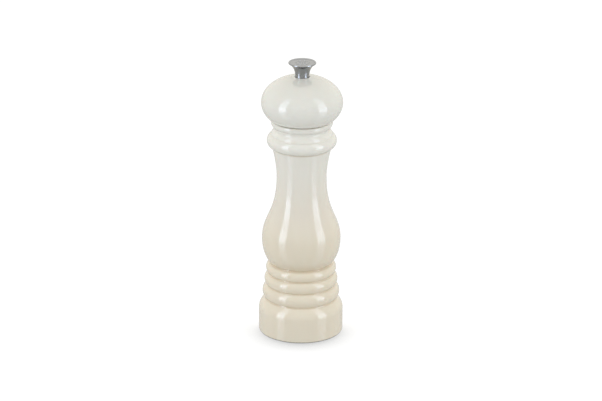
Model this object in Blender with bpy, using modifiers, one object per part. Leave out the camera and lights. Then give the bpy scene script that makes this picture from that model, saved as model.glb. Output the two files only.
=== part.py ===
"""Pepper mill: turned plastic body and head on a square steel shaft, with a ceramic burr below.

Blender 4.5, metres, +Z up. The origin is the centre of the base, on the table.
Lengths are written in millimetres and turned into metres by MM where a mesh is made.
Every outline is (radius, height), runs down the outside of the piece and comes back up inside.
"""
import math

import bmesh
import bpy
from mathutils import Matrix, Vector

MM = 0.001

# ---- driving dimensions (millimetres) --------------------------------------------------
HEIGHT = 210.0          # table to the top of the knob
BASE_R = 31.5           # widest radius, at the foot
WAIST_R = 18.56         # narrowest radius of the body
WAIST_Z = 121.5
BELLY_R = 29.36         # widest radius of the belly
BELLY_Z = 73.0
COLLAR_R = 25.86        # widest radius of the collar bead
COLLAR_Z = 149.5
RIM_Z = 165.6           # top of the body's outer rim
RIM_SEAT_R = 20.3       # step inside the rim, under the mouth ring's flange
RIM_SEAT_Z = 165.0
SEAM = 0.8              # shadow gap between body and head
HEAD_R = 30.2           # head: half width and half height of its spheroid
HEAD_B = 20.2
HEAD_Z = 179.0          # height of the spheroid's centre
HEAD_WALL = 2.5
KNOB_R = 10.3           # flange of the knob
KNOB_NECK_R = 5.25
KNOB_FOOT_Z = 198.7

GAP = 0.3               # clearance left between pieces that touch
SHAFT_HALF = 2.8        # half the width of the square shaft
SQUARE_HOLE_HALF = SHAFT_HALF + GAP
THREAD_R = 2.45         # M5 thread at the top of the shaft
SHAFT_FOOT_Z = 10.0
SHAFT_SHOULDER_Z = 189.5
SHAFT_TOP_Z = 206.0

TUBE_R = 14.3           # inside of the hopper tube
TUBE_OUT_R = 15.6
SHELL_BORE_R = 16.0     # bore of the body around the hopper tube
MOUTH_R = 18.2          # bore that holds the mouth ring
MOUTH_LEDGE_Z = 150.5

PLATE_Z = 8.0           # underside of the grinder housing
PLATE_TOP_Z = 12.0
HOUSING_TOP_Z = 48.4
STATOR_R = 16.7
STATOR_Z = (12.3, 25.2)
ROTOR_Z = (9.5, 26.5)
BURR_TEETH = 24
BRIDGE_Z = (41.5, 46.0)
HUB_BOTTOM_Z = 39.2
BUSH_FLANGE_Z = (36.5, 38.9)
DRIVE_PLATE_Z = (163.4, 164.9)
INSERT_FLANGE_Z = (166.7, 169.5)

HOUSING_SCREW_RING = 25.4    # distance of the housing screws from the axis
RETAINER_SCREW_RING = 19.4
RETAINER_HOLE_R = 1.3
RETAINER_BOTTOM_Z = 5.4
PLATE_SCREW_RING = 8.0
PLATE_HOLE_R = 1.5

FINE = 36               # facets around the large turned pieces
MEDIUM = 28
SMALL = 20
SCREW_FACETS = 12


# ---- scene, materials and outlines -------------------------------------------------------
def clear_scene():
    for old in list(bpy.data.objects):
        bpy.data.objects.remove(old, do_unlink=True)


def new_collection(name):
    collection = bpy.data.collections.new(name)
    bpy.context.scene.collection.children.link(collection)
    return collection


def material(name, colour, roughness, metallic=0.0):
    made = bpy.data.materials.new(name)
    made.use_nodes = True
    shader = made.node_tree.nodes["Principled BSDF"]
    shader.inputs["Base Color"].default_value = (*colour, 1.0)
    shader.inputs["Roughness"].default_value = roughness
    shader.inputs["Metallic"].default_value = metallic
    made.diffuse_color = (*colour, 1.0)
    return made


def bezier(start, pull_a, pull_b, end, steps):
    """Cubic curve from start to end, without its first point."""
    points = []
    for i in range(1, steps + 1):
        t = i / steps
        u = 1.0 - t
        weights = (u ** 3, 3 * u * u * t, 3 * u * t * t, t ** 3)
        knots = (start, pull_a, pull_b, end)
        r = sum(w * k[0] for w, k in zip(weights, knots))
        z = sum(w * k[1] for w, k in zip(weights, knots))
        points.append((r, z))
    return points


def arc(start, through, end, steps):
    """Circular arc through three points, without its first point."""
    a = Vector(start)
    b = Vector(through) - a
    c = Vector(end) - a
    cross = 2.0 * (b.x * c.y - b.y * c.x)
    centre = a + Vector((c.y * b.length_squared - b.y * c.length_squared,
                         b.x * c.length_squared - c.x * b.length_squared)) / cross
    radius = (a - centre).length
    first = math.atan2(a.y - centre.y, a.x - centre.x)
    middle = math.atan2(through[1] - centre.y, through[0] - centre.x)
    last = math.atan2(end[1] - centre.y, end[0] - centre.x)
    turn = (last - first) % math.tau
    if (middle - first) % math.tau > turn:
        turn -= math.tau
    points = []
    for i in range(1, steps + 1):
        angle = first + turn * i / steps
        points.append((centre.x + radius * math.cos(angle), centre.y + radius * math.sin(angle)))
    return points


def spheroid(half_width, half_height, r_start, r_end, steps, upper=True):
    """Heights of the head's spheroid between two radii on its upper or lower half."""
    sign = 1.0 if upper else -1.0
    first = math.asin(r_start / half_width)
    last = math.asin(r_end / half_width)
    points = []
    for i in range(steps + 1):
        angle = first + (last - first) * i / steps
        points.append((half_width * math.sin(angle), HEAD_Z + sign * half_height * math.cos(angle)))
    return points


# ---- makers ------------------------------------------------------------------------------
def add_object(name, mesh, collection, finish):
    made = bpy.data.objects.new(name, mesh)
    collection.objects.link(made)
    if finish:
        mesh.materials.append(finish)
    return made


def turned(name, outline, facets, finish, collection, closed=True):
    """A piece turned around the Z axis; an open outline starts and ends on the axis."""
    count = len(outline)
    edges = [(i, i + 1) for i in range(count - 1)]
    if closed:
        edges.append((count - 1, 0))
    mesh = bpy.data.meshes.new(name)
    mesh.from_pydata([(r * MM, 0.0, z * MM) for r, z in outline], edges, [])
    made = add_object(name, mesh, collection, finish)
    screw = made.modifiers.new("turn", 'SCREW')
    screw.axis = 'Z'
    screw.angle = math.tau
    screw.steps = facets
    screw.render_steps = facets
    screw.use_merge_vertices = True
    screw.merge_threshold = 0.00001
    screw.use_smooth_shade = True
    return made


def box(name, size, centre, finish, collection, spin=0.0):
    mesh = bpy.data.meshes.new(name)
    shape = bmesh.new()
    bmesh.ops.create_cube(shape, size=1.0)
    bmesh.ops.scale(shape, vec=Vector(size) * MM, verts=shape.verts)
    shape.to_mesh(mesh)
    shape.free()
    made = add_object(name, mesh, collection, finish)
    made.location = Vector(centre) * MM
    made.rotation_euler.z = spin
    return made


def rod(name, radius, z_low, z_high, place, facets, finish, collection):
    """Upright cylinder between two heights at place (x, y)."""
    mesh = bpy.data.meshes.new(name)
    shape = bmesh.new()
    bmesh.ops.create_cone(shape, cap_ends=True, segments=facets, radius1=radius * MM,
                          radius2=radius * MM, depth=(z_high - z_low) * MM)
    shape.to_mesh(mesh)
    shape.free()
    made = add_object(name, mesh, collection, finish)
    made.location = Vector((place[0], place[1], (z_low + z_high) / 2)) * MM
    return made


def toothed_plug(name, sections, teeth, finish, collection):
    """Loft of toothed sections; each is (height, tip radius, root radius, twist in degrees)."""
    mesh = bpy.data.meshes.new(name)
    shape = bmesh.new()
    rings = []
    for height, tip, root, twist in sections:
        ring = []
        for i in range(2 * teeth):
            angle = math.pi * i / teeth + math.radians(twist)
            radius = tip if i % 2 == 0 else root
            ring.append(shape.verts.new((radius * MM * math.cos(angle),
                                         radius * MM * math.sin(angle), height * MM)))
        rings.append(ring)
    for lower, upper in zip(rings, rings[1:]):
        for i in range(2 * teeth):
            j = (i + 1) % (2 * teeth)
            shape.faces.new((lower[i], lower[j], upper[j], upper[i]))
    shape.faces.new(list(reversed(rings[0])))
    shape.faces.new(rings[-1])
    shape.to_mesh(mesh)
    shape.free()
    return add_object(name, mesh, collection, finish)


def combine(target, other, operation):
    """Cut other from target, or join it on, and keep other as a hidden guide."""
    other.hide_render = True
    other.display_type = 'WIRE'
    step = target.modifiers.new(operation.lower(), 'BOOLEAN')
    step.operation = operation
    step.solver = 'EXACT'
    step.object = other


def freeze(made):
    """Turn an object's modifiers into a plain mesh that copies can share."""
    bpy.context.view_layer.update()
    evaluated = made.evaluated_get(bpy.context.evaluated_depsgraph_get())
    mesh = bpy.data.meshes.new_from_object(evaluated)
    mesh.name = made.name + "_mesh"
    made.modifiers.clear()
    made.data = mesh


def ring_places(radius, count, first_degrees):
    places = []
    for i in range(count):
        angle = math.radians(first_degrees + 360.0 * i / count)
        places.append((radius * math.cos(angle), radius * math.sin(angle)))
    return places


def axis_empty(name, height):
    made = bpy.data.objects.new(name, None)
    made.empty_display_type = 'SINGLE_ARROW'
    made.empty_display_size = 0.03
    made.location.z = height * MM
    parts.objects.link(made)
    return made


def carry(empty, members):
    """Parent pieces to a joint's empty and leave them where they are."""
    for member in members:
        member.parent = empty
        member.matrix_parent_inverse = Matrix.Translation(-empty.location)


# ---- body: shell, hopper and mouth ---------------------------------------------------------
def body_outside():
    """Outline of the body from its rim down to the foot: collar, waist, belly, beads, drum."""
    outline = [(21.9, RIM_Z), (22.35, RIM_Z - 0.4)]
    outline += arc((22.35, RIM_Z - 0.4), (22.8, 162.9), (21.4, 161.0), 3)
    outline += arc((21.4, 161.0), (20.6, 159.4), (20.9, 158.0), 3)
    outline += arc((20.9, 158.0), (22.3, 156.3), (23.1, 154.5), 2)
    outline += arc((23.1, 154.5), (COLLAR_R, COLLAR_Z), (22.0, 144.5), 6)
    outline += bezier((21.9, 144.4), (22.3, 145.2), (WAIST_R, 132.9), (WAIST_R, WAIST_Z), 5)
    outline += bezier((WAIST_R, WAIST_Z), (WAIST_R, 92.3), (BELLY_R, 89.7), (BELLY_R, BELLY_Z), 8)
    outline += bezier((BELLY_R, BELLY_Z), (BELLY_R, 60.3), (23.8, 54.5), (23.4, 54.3), 5)
    for upper, crest, lower in BEADS:
        outline += [upper]
        outline += arc(upper, crest, lower, 4)
    outline += bezier((27.0, 25.8), (29.6, 23.2), (BASE_R, 20.5), (BASE_R, 17.0), 4)
    outline += [(BASE_R, 0.8), (BASE_R - 0.8, 0.0)]
    return outline


# the three beads above the drum, each as upper groove, crest and lower groove
BEADS = (((23.4, 53.7), (26.27, 49.2), (24.7, 45.9)),
         ((24.6, 45.4), (27.4, 40.9), (25.9, 36.9)),
         ((25.8, 36.4), (28.82, 31.3), (27.0, 26.2)))
FOOT_IN_R = 28.2        # inner edge of the rim that stands on the table
BOSS_R = 3.2            # bosses that take the housing screws
BOSS_Z = (PLATE_TOP_Z + GAP, 19.5)
BOSS_HOLE_R = 1.8
BOSS_HOLE_TOP_Z = 18.5


def make_body_shell():
    inside = [(FOOT_IN_R, 0.0), (FOOT_IN_R, 14.5)]
    inside += arc((FOOT_IN_R, 14.5), (26.3, 18.4), (22.0, 20.0), 3)
    inside += [(20.9, 53.0), (20.9, 88.0), (SHELL_BORE_R, 112.0), (SHELL_BORE_R, MOUTH_LEDGE_Z)]
    inside += [(MOUTH_R, MOUTH_LEDGE_Z), (MOUTH_R, RIM_SEAT_Z)]
    inside += [(RIM_SEAT_R, RIM_SEAT_Z), (RIM_SEAT_R, RIM_Z)]
    shell = turned("body_shell", body_outside() + inside, FINE, enamel_lower, parts)
    for i, place in enumerate(ring_places(HOUSING_SCREW_RING, 3, 30.0)):
        boss = rod(f"boss_{i + 1}", BOSS_R, BOSS_Z[0], BOSS_Z[1] + 2.0, place, 16, None, cutters)
        hole = rod(f"boss_hole_{i + 1}", BOSS_HOLE_R, BOSS_Z[0] - 1.0, BOSS_HOLE_TOP_Z, place, 12,
                   None, cutters)
        combine(shell, boss, 'UNION')
        combine(shell, hole, 'DIFFERENCE')
    return shell


def make_hopper_tube():
    bottom = BRIDGE_Z[1] + GAP
    top = MOUTH_LEDGE_Z - GAP
    foot_r = 17.0
    foot_top = 48.0
    outline = [(TUBE_R, top), (TUBE_OUT_R, top), (TUBE_OUT_R, foot_top)]
    outline += [(foot_r, foot_top), (foot_r, bottom), (TUBE_R, bottom)]
    return turned("hopper_tube", outline, MEDIUM, clear_plastic, parts)


def make_mouth_ring():
    """Lining of the body's mouth: the head's spigot turns in it and its flange carries the head."""
    bottom = MOUTH_LEDGE_Z + GAP
    lip_top = bottom + 1.5
    flange_top = RIM_SEAT_Z + 1.4
    flange_bottom = RIM_SEAT_Z + GAP
    bore_r = 15.8
    outside_r = MOUTH_R - GAP
    flange_r = RIM_SEAT_R - GAP
    outline = [(bore_r + 0.5, flange_top), (flange_r, flange_top), (flange_r, flange_bottom)]
    outline += [(outside_r, flange_bottom), (outside_r, bottom), (14.6, bottom), (14.6, lip_top)]
    outline += [(bore_r, lip_top), (bore_r, flange_top - 0.5)]
    return turned("mouth_ring", outline, MEDIUM, white_plastic, parts)


# ---- grinder -------------------------------------------------------------------------------
def make_grinder_housing():
    pocket_z = BRIDGE_Z[0] - GAP
    stator_ledge_z = STATOR_Z[1] + GAP
    wall_r = 19.8
    root_r = 21.6
    plate_r = FOOT_IN_R - GAP
    bore_r = 15.5
    pocket_r = 17.3
    outline = [(wall_r, HOUSING_TOP_Z), (wall_r, 18.5), (root_r, 15.5), (root_r, PLATE_TOP_Z)]
    outline += [(plate_r, PLATE_TOP_Z), (plate_r, PLATE_Z), (STATOR_R + GAP, PLATE_Z)]
    outline += [(STATOR_R + GAP, stator_ledge_z), (bore_r, stator_ledge_z), (bore_r, pocket_z)]
    outline += [(pocket_r, pocket_z), (pocket_r, HOUSING_TOP_Z)]
    housing = turned("grinder_housing", outline, MEDIUM, dark_plastic, parts)
    for i, place in enumerate(ring_places(HOUSING_SCREW_RING, 3, 30.0)):
        hole = rod(f"housing_hole_{i + 1}", BOSS_HOLE_R, PLATE_Z - 1, PLATE_TOP_Z + 1, place, 12,
                   None, cutters)
        combine(housing, hole, 'DIFFERENCE')
    for i, place in enumerate(ring_places(RETAINER_SCREW_RING, 3, 90.0)):
        hole = rod(f"housing_thread_{i + 1}", RETAINER_HOLE_R, PLATE_Z - 1, 13.0, place, 10,
                   None, cutters)
        combine(housing, hole, 'DIFFERENCE')
    return housing


def make_bearing_bridge():
    """Hub on three arms; peppercorns fall between the arms."""
    hub_r = 8.2
    bore_r = 5.5
    arm_start_r = 6.5
    ring_in_r = 14.9
    ring_out_r = 17.0
    low, high = BRIDGE_Z
    rim = [(ring_in_r, high), (ring_out_r, high), (ring_out_r, low), (ring_in_r, low)]
    bridge = turned("bearing_bridge", rim, MEDIUM, grey_plastic, parts)
    hub = rod("bridge_hub", hub_r, HUB_BOTTOM_Z, high, (0, 0), 24, None, cutters)
    combine(bridge, hub, 'UNION')
    length = ring_in_r + 1.0 - arm_start_r
    for i, place in enumerate(ring_places(arm_start_r + length / 2, 3, 0.0)):
        arm = box(f"bridge_arm_{i + 1}", (length, 3.0, 3.6), (*place, low + 2.2), None, cutters,
                  spin=math.radians(120.0 * i))
        combine(bridge, arm, 'UNION')
    bore = rod("bridge_bore", bore_r, HUB_BOTTOM_Z - 1, high + 1, (0, 0), 24, None, cutters)
    combine(bridge, bore, 'DIFFERENCE')
    return bridge


def make_stator():
    """Fixed ring of the burr: a toothed throat that narrows to the fine cut and flares below it."""
    low, high = STATOR_Z
    blank = rod("burr_stator", STATOR_R, low, high, (0, 0), MEDIUM, ceramic, parts)
    throat = [(low - 1.0, 12.87, 13.57, -8.0), (17.5, 11.2, 11.9, 0.0)]
    throat += [(21.0, 12.3, 13.6, 8.0), (high + 1.0, 14.6, 15.9, 20.0)]
    cutter = toothed_plug("stator_throat", throat, BURR_TEETH, None, cutters)
    combine(blank, cutter, 'DIFFERENCE')
    return blank


def make_rotor():
    """Turning cone of the burr, on the square shaft; it widens downwards."""
    low, high = ROTOR_Z
    sections = [(low, 12.2, 11.9, 4.0), (12.3, 12.3, 11.7, 4.0), (17.5, 10.9, 10.2, 0.0)]
    sections += [(21.0, 9.9, 8.3, -12.0), (high, 7.6, 6.9, -34.0)]
    rotor = toothed_plug("burr_rotor", sections, BURR_TEETH, ceramic, parts)
    side = 2 * SQUARE_HOLE_HALF
    bore = box("rotor_bore", (side, side, 30.0), (0, 0, 18.0), None, cutters)
    combine(rotor, bore, 'DIFFERENCE')
    return rotor


def make_retainer():
    """Ring under the stator, with a spigot that holds it up in the housing."""
    flange_top = PLATE_Z - GAP
    bottom = RETAINER_BOTTOM_Z
    spigot_top = STATOR_Z[0] - GAP
    bore_r = 13.3
    flange_r = 21.6
    outline = [(bore_r, spigot_top), (STATOR_R, spigot_top), (STATOR_R, flange_top)]
    outline += [(flange_r, flange_top), (flange_r, bottom + 0.6), (flange_r - 0.6, bottom)]
    outline += [(bore_r, bottom)]
    retainer = turned("stator_retainer", outline, MEDIUM, dark_plastic, parts)
    for i, place in enumerate(ring_places(RETAINER_SCREW_RING, 3, 90.0)):
        hole = rod(f"retainer_hole_{i + 1}", RETAINER_HOLE_R, bottom - 1, flange_top + 1, place, 10,
                   None, cutters)
        combine(retainer, hole, 'DIFFERENCE')
    return retainer


def make_shaft_bush():
    """Bush that turns with the square shaft in the bridge and lets it slide through."""
    low, high = BUSH_FLANGE_Z
    top = 48.0
    sleeve_r = 5.2
    flange_r = 7.2
    outline = [(0.0, top), (sleeve_r, top), (sleeve_r, high), (flange_r, high), (flange_r, low)]
    outline += [(0.0, low)]
    bush = turned("shaft_bush", outline, 24, white_plastic, parts, closed=False)
    side = 2 * SQUARE_HOLE_HALF
    bore = box("bush_bore", (side, side, 20.0), (0, 0, 42.0), None, cutters)
    combine(bush, bore, 'DIFFERENCE')
    return bush


def make_drive_shaft():
    side = 2 * SHAFT_HALF
    length = SHAFT_SHOULDER_Z - SHAFT_FOOT_Z
    centre = (0, 0, SHAFT_FOOT_Z + length / 2)
    shaft = box("drive_shaft", (side, side, length), centre, steel, parts)
    thread = [(0.0, SHAFT_TOP_Z), (THREAD_R - 0.6, SHAFT_TOP_Z), (THREAD_R, SHAFT_TOP_Z - 0.6)]
    thread += [(THREAD_R, SHAFT_SHOULDER_Z - 2.0), (0.0, SHAFT_SHOULDER_Z - 2.0)]
    combine(shaft, turned("shaft_thread", thread, SMALL, None, cutters, closed=False), 'UNION')
    hole = rod("shaft_hole", 1.8, SHAFT_FOOT_Z - 1.0, 17.5, (0, 0), SCREW_FACETS, None, cutters)
    combine(shaft, hole, 'DIFFERENCE')
    return shaft


def make_spring():
    """Coil between the rotor and the bush; it pushes the rotor down."""
    wire = 0.6
    coil_r = 5.3
    turns = 4.0
    low = ROTOR_Z[1] + GAP + wire
    high = BUSH_FLANGE_Z[0] - GAP - wire
    per_turn = 10
    count = int(turns * per_turn) + 1
    curve = bpy.data.curves.new("rotor_spring", 'CURVE')
    curve.dimensions = '3D'
    curve.bevel_depth = wire * MM
    curve.bevel_resolution = 2
    curve.use_fill_caps = True
    line = curve.splines.new('POLY')
    line.points.add(count - 1)
    for i in range(count):
        angle = math.tau * i / per_turn
        height = low + (high - low) * i / (count - 1)
        line.points[i].co = (coil_r * math.cos(angle) * MM, coil_r * math.sin(angle) * MM,
                             height * MM, 1.0)
    return add_object("rotor_spring", curve, parts, spring_steel)


def flat_ring(name, r_in, r_out, z_low, z_high, facets, finish):
    outline = [(r_in, z_high), (r_out, z_high), (r_out, z_low), (r_in, z_low)]
    return turned(name, outline, facets, finish, parts)


def screw_mesh(name, head_r, head_h, shank_r, shank_l):
    """Pan-head screw, head down, with its seat at z = 0 and a cross recess in the head."""
    outline = [(0.0, shank_l), (shank_r - 0.3, shank_l), (shank_r, shank_l - 0.6), (shank_r, 0.0)]
    outline += [(head_r, 0.0)]
    outline += arc((head_r, 0.0), (head_r * 0.85, -head_h * 0.72), (head_r * 0.4, -head_h), 3)
    outline += [(0.0, -head_h)]
    made = turned(name, outline, SCREW_FACETS, screw_steel, cutters, closed=False)
    slot = head_r * 1.1
    for i in range(2):
        bar = box(f"{name}_recess_{i}", (slot, 0.5, head_h), (0, 0, -head_h), None, cutters,
                  spin=math.radians(7.0 + 90.0 * i))
        combine(made, bar, 'DIFFERENCE')
    freeze(made)
    mesh = made.data
    bpy.data.objects.remove(made, do_unlink=True)
    return mesh


def place_screws(name, mesh, places, seat_z):
    screws = []
    for i, place in enumerate(places):
        made = bpy.data.objects.new(f"{name}_{i + 1}" if len(places) > 1 else name, mesh)
        parts.objects.link(made)
        made.location = Vector((place[0], place[1], seat_z)) * MM
        screws.append(made)
    return screws


# ---- head and knob ---------------------------------------------------------------------------
HEAD_EDGE_Z = RIM_Z + SEAM
HEAD_BORE_R = 20.4      # bore at the head's lower edge, where the insert is pressed in
HEAD_LIP_Z = 169.8
POST_R = 7.0            # post inside the head, round the shaft
POST_BORE_R = 4.6
POST_BORE_TOP_Z = 191.0
SHAFT_HOLE_R = THREAD_R + 0.45
SEAT_R = 5.65           # recess in the head's top for the knob's foot
SEAT_Z = 197.7
KNOB_BORE_R = 4.0       # blind bore in the knob, filled by the threaded insert
KNOB_BORE_Z = 207.0


def make_head_shell():
    edge_r = HEAD_R * math.sqrt(1.0 - ((HEAD_Z - HEAD_EDGE_Z) / HEAD_B) ** 2)
    inner_a = HEAD_R - HEAD_WALL
    inner_b = HEAD_B - HEAD_WALL
    lip_r = inner_a * math.sqrt(1.0 - ((HEAD_Z - HEAD_LIP_Z) / inner_b) ** 2)
    outline = spheroid(HEAD_R, HEAD_B, SEAT_R, HEAD_R, 8)
    outline += spheroid(HEAD_R, HEAD_B, HEAD_R, edge_r, 5, upper=False)[1:]
    outline += [(HEAD_BORE_R, HEAD_EDGE_Z), (HEAD_BORE_R, HEAD_LIP_Z)]
    outline += spheroid(inner_a, inner_b, lip_r, inner_a, 3, upper=False)
    outline += spheroid(inner_a, inner_b, inner_a, POST_R, 5)[1:]
    outline += [(POST_R, HEAD_LIP_Z), (POST_BORE_R, HEAD_LIP_Z), (POST_BORE_R, POST_BORE_TOP_Z)]
    outline += [(SHAFT_HOLE_R, POST_BORE_TOP_Z), (SHAFT_HOLE_R, SEAT_Z), (SEAT_R, SEAT_Z)]
    return turned("head_shell", outline, FINE, enamel_upper, parts)


def make_head_insert():
    """Floor of the head with the spigot that turns in the mouth ring."""
    low, high = INSERT_FLANGE_Z
    floor_z = DRIVE_PLATE_Z[1] + GAP
    flange_r = HEAD_BORE_R - GAP
    spigot_r = 15.4
    spigot_in_r = 13.4
    spigot_z = 153.0
    outline = [(POST_BORE_R, high), (flange_r, high), (flange_r, low), (spigot_r, low)]
    outline += [(spigot_r, spigot_z + 0.6), (spigot_r - 0.6, spigot_z), (spigot_in_r, spigot_z)]
    outline += [(spigot_in_r, floor_z), (POST_BORE_R, floor_z)]
    insert = turned("head_insert", outline, MEDIUM, white_plastic, parts)
    for i, place in enumerate(ring_places(PLATE_SCREW_RING, 2, 0.0)):
        hole = rod(f"insert_hole_{i + 1}", PLATE_HOLE_R, floor_z - 1, high + 1, place, 10,
                   None, cutters)
        combine(insert, hole, 'DIFFERENCE')
    return insert


def make_drive_plate():
    """Steel plate under the head's floor; its square hole turns the shaft."""
    low, high = DRIVE_PLATE_Z
    plate = rod("drive_plate", 11.8, low, high, (0, 0), MEDIUM, steel, parts)
    side = 2 * SQUARE_HOLE_HALF
    combine(plate, box("plate_square", (side, side, 8.0), (0, 0, low), None, cutters), 'DIFFERENCE')
    for i, place in enumerate(ring_places(PLATE_SCREW_RING, 2, 0.0)):
        hole = rod(f"plate_hole_{i + 1}", PLATE_HOLE_R, low - 1, high + 1, place, 10, None, cutters)
        combine(plate, hole, 'DIFFERENCE')
    return plate


def make_knob():
    """Flared nut: a plain raised ring on a dished top, and a blind bore for the threaded insert."""
    dish_z = HEIGHT - 0.3
    ring_z = HEIGHT - 0.05
    rim_under = (KNOB_R - 0.05, HEIGHT - 1.0)
    outline = [(0.0, dish_z), (4.3, dish_z), (4.6, ring_z), (5.4, ring_z), (5.7, dish_z)]
    outline += [(8.6, dish_z), (9.0, HEIGHT), (9.6, HEIGHT)]
    outline += arc((9.6, HEIGHT), (KNOB_R - 0.15, HEIGHT - 0.35), rim_under, 3)
    outline += bezier(rim_under, (7.0, 207.6), (KNOB_NECK_R, 204.3), (KNOB_NECK_R, 199.5), 7)
    outline += [(KNOB_NECK_R, KNOB_FOOT_Z + 0.3), (KNOB_NECK_R - 0.3, KNOB_FOOT_Z)]
    outline += [(KNOB_BORE_R, KNOB_FOOT_Z), (KNOB_BORE_R, KNOB_BORE_Z), (0.0, KNOB_BORE_Z)]
    return turned("adjust_knob", outline, 28, knob_metal, parts, closed=False)


# ---- build -----------------------------------------------------------------------------------
clear_scene()
parts = new_collection("pepper_mill")
cutters = new_collection("pepper_mill_guides")
enamel_lower = material("enamel_cream", (0.70, 0.67, 0.58), 0.12)
enamel_upper = material("enamel_white", (0.76, 0.76, 0.72), 0.12)
clear_plastic = material("translucent_plastic", (0.75, 0.77, 0.76), 0.25)
white_plastic = material("white_plastic", (0.72, 0.72, 0.70), 0.35)
dark_plastic = material("dark_plastic", (0.035, 0.035, 0.038), 0.45)
grey_plastic = material("grey_plastic", (0.22, 0.22, 0.22), 0.45)
ceramic = material("white_ceramic", (0.80, 0.79, 0.75), 0.30)
steel = material("stainless_steel", (0.55, 0.55, 0.54), 0.28, 1.0)
spring_steel = material("spring_steel", (0.42, 0.42, 0.41), 0.30, 1.0)
screw_steel = material("screw_steel", (0.48, 0.48, 0.47), 0.30, 1.0)
knob_metal = material("cast_metal", (0.36, 0.36, 0.35), 0.35, 1.0)
brass = material("brass", (0.60, 0.43, 0.18), 0.30, 1.0)

body_group = [make_body_shell(), make_hopper_tube(), make_mouth_ring(), make_grinder_housing()]
body_group += [make_bearing_bridge(), make_stator(), make_retainer()]
housing_screw = screw_mesh("housing_screw", head_r=2.6, head_h=1.9, shank_r=1.5, shank_l=10.3)
body_group += place_screws("housing_screw", housing_screw, ring_places(HOUSING_SCREW_RING, 3, 30.0),
                           PLATE_Z - GAP)
retainer_screw = screw_mesh("retainer_screw", head_r=2.1, head_h=1.7, shank_r=1.0, shank_l=7.2)
body_group += place_screws("retainer_screw", retainer_screw, ring_places(RETAINER_SCREW_RING, 3, 90.0),
                           RETAINER_BOTTOM_Z - GAP)

bush_group = [make_shaft_bush(), make_spring()]

washer_z = (ROTOR_Z[0] - GAP - 1.2, ROTOR_Z[0] - GAP)
spindle_group = [make_drive_shaft(), make_rotor()]
spindle_group.append(flat_ring("rotor_washer", 1.9, 6.0, *washer_z, SMALL, screw_steel))
rotor_screw = screw_mesh("rotor_screw", head_r=3.2, head_h=2.0, shank_r=1.5, shank_l=9.3)
spindle_group += place_screws("rotor_screw", rotor_screw, [(0.0, 0.0)], washer_z[0] - GAP)

head_group = [make_head_shell(), make_head_insert(), make_drive_plate()]
plate_screw = screw_mesh("drive_plate_screw", head_r=2.2, head_h=1.5, shank_r=1.2, shank_l=5.9)
head_group += place_screws("drive_plate_screw", plate_screw, ring_places(PLATE_SCREW_RING, 2, 0.0),
                           DRIVE_PLATE_Z[0] - GAP)

washer_group = [flat_ring("knob_washer", SHAFT_HOLE_R, 5.2, SEAT_Z + GAP, KNOB_FOOT_Z - 0.25, SMALL,
                          dark_plastic)]
knob_group = [make_knob(), flat_ring("knob_insert", THREAD_R + GAP, KNOB_BORE_R - GAP,
                                     KNOB_FOOT_Z + GAP, KNOB_BORE_Z - GAP, SMALL, brass)]

# joint axes all lie on the mill's own Z axis
turn_axis = axis_empty("grind_turn_axis", BUSH_FLANGE_Z[1])
adjust_axis = axis_empty("grind_adjust_axis", ROTOR_Z[0])
lift_axis = axis_empty("head_lift_axis", HEAD_EDGE_Z)
unscrew_axis = axis_empty("knob_lift_axis", SEAT_Z)
knob_axis = axis_empty("knob_turn_axis", KNOB_FOOT_Z)
carry(turn_axis, bush_group)
carry(adjust_axis, spindle_group)
carry(lift_axis, head_group)
carry(unscrew_axis, washer_group)
carry(knob_axis, knob_group)
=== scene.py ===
"""Looks of the pepper mill: fine turned surfaces, moulded and metal finishes, floor, light, camera.

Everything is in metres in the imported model's frame: +Z up, the centre of the base at the origin.
Lengths are written in millimetres and turned into metres by MM where a mesh is made.
"""
import math

import bmesh
import bpy
from mathutils import Matrix, Vector


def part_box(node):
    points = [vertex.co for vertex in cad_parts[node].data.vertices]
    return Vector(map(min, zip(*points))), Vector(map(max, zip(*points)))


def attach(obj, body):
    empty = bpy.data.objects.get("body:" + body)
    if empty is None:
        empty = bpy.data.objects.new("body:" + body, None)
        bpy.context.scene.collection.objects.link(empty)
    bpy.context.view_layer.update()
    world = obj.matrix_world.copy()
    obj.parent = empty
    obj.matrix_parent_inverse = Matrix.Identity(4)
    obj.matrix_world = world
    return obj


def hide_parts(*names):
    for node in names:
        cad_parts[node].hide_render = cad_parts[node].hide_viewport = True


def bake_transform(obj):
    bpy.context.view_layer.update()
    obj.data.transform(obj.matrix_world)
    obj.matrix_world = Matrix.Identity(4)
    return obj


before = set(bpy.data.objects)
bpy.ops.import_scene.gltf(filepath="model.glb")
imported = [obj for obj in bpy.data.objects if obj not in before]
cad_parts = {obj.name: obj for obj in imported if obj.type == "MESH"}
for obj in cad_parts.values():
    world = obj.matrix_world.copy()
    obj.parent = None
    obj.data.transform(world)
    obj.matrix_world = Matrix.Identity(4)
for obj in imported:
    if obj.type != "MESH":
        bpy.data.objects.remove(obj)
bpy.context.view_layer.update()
MM = 0.001


def span(node):
    """Lowest height, highest height and half width of a CAD node, in millimetres."""
    low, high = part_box(node)
    return low.z / MM, high.z / MM, (high.x - low.x) / 2 / MM


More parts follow.
